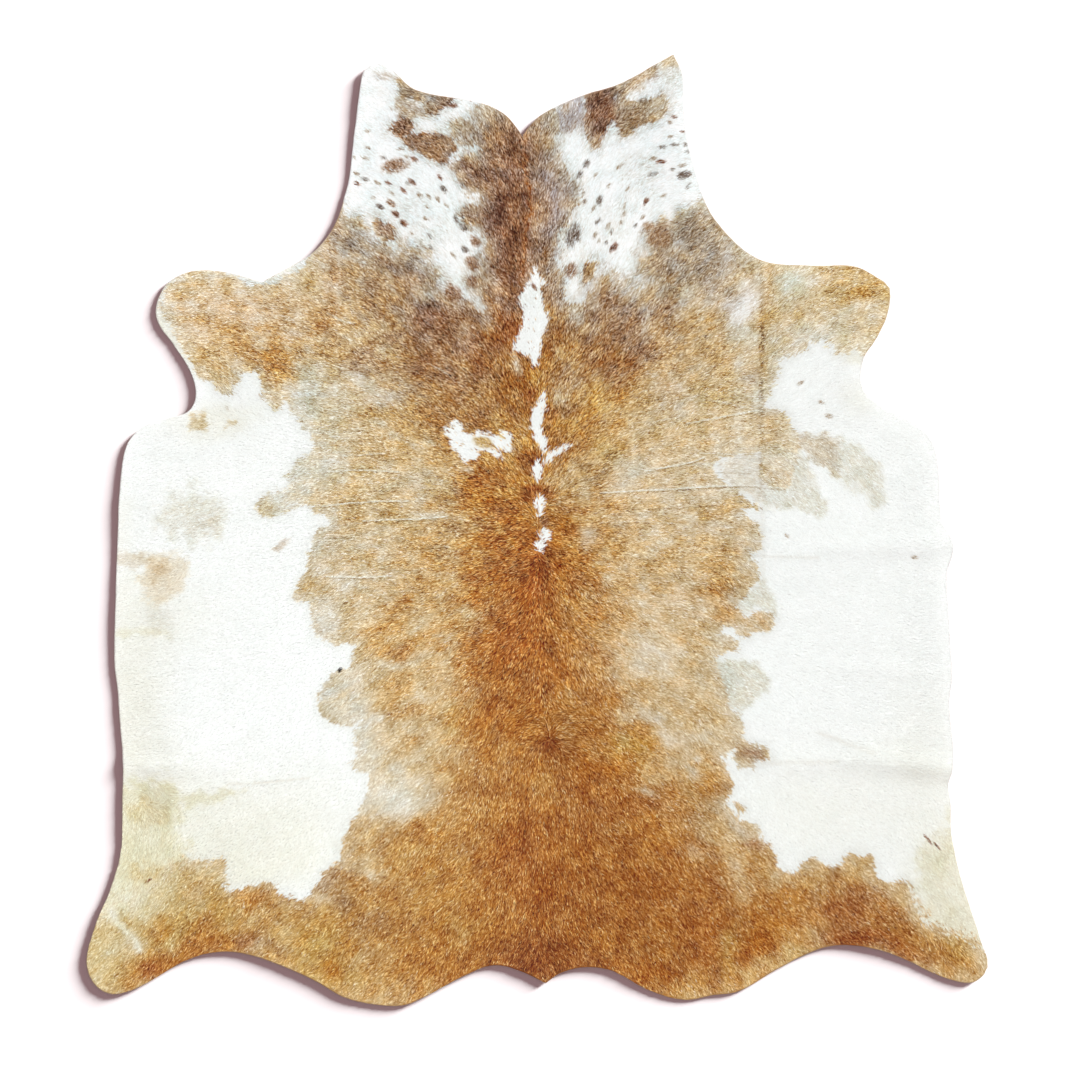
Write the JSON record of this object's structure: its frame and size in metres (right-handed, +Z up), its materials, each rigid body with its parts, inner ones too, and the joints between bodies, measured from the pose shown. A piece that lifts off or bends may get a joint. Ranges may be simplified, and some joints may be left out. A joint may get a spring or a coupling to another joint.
{
  "type": "cowhide rug",
  "caption": "Whole trimmed hair-on cowhide that lies flat on the floor as a rug, brown roan along the back and white at the flanks and neck.",
  "frame": {"origin": "on the floor, under the middle of the hide's outline", "axes": "+Y along the spine from the tail to the neck, +X across the hide to the right seen from above, +Z up from the floor through the hair side"},
  "size_m": [1.9806, 2.0911, 0.0176],
  "materials": {
    "hair": "matte, short lying hair on leather"
  },
  "bodies": {
    "root": {"hide": "hair"}
  },
  "joints": []
}
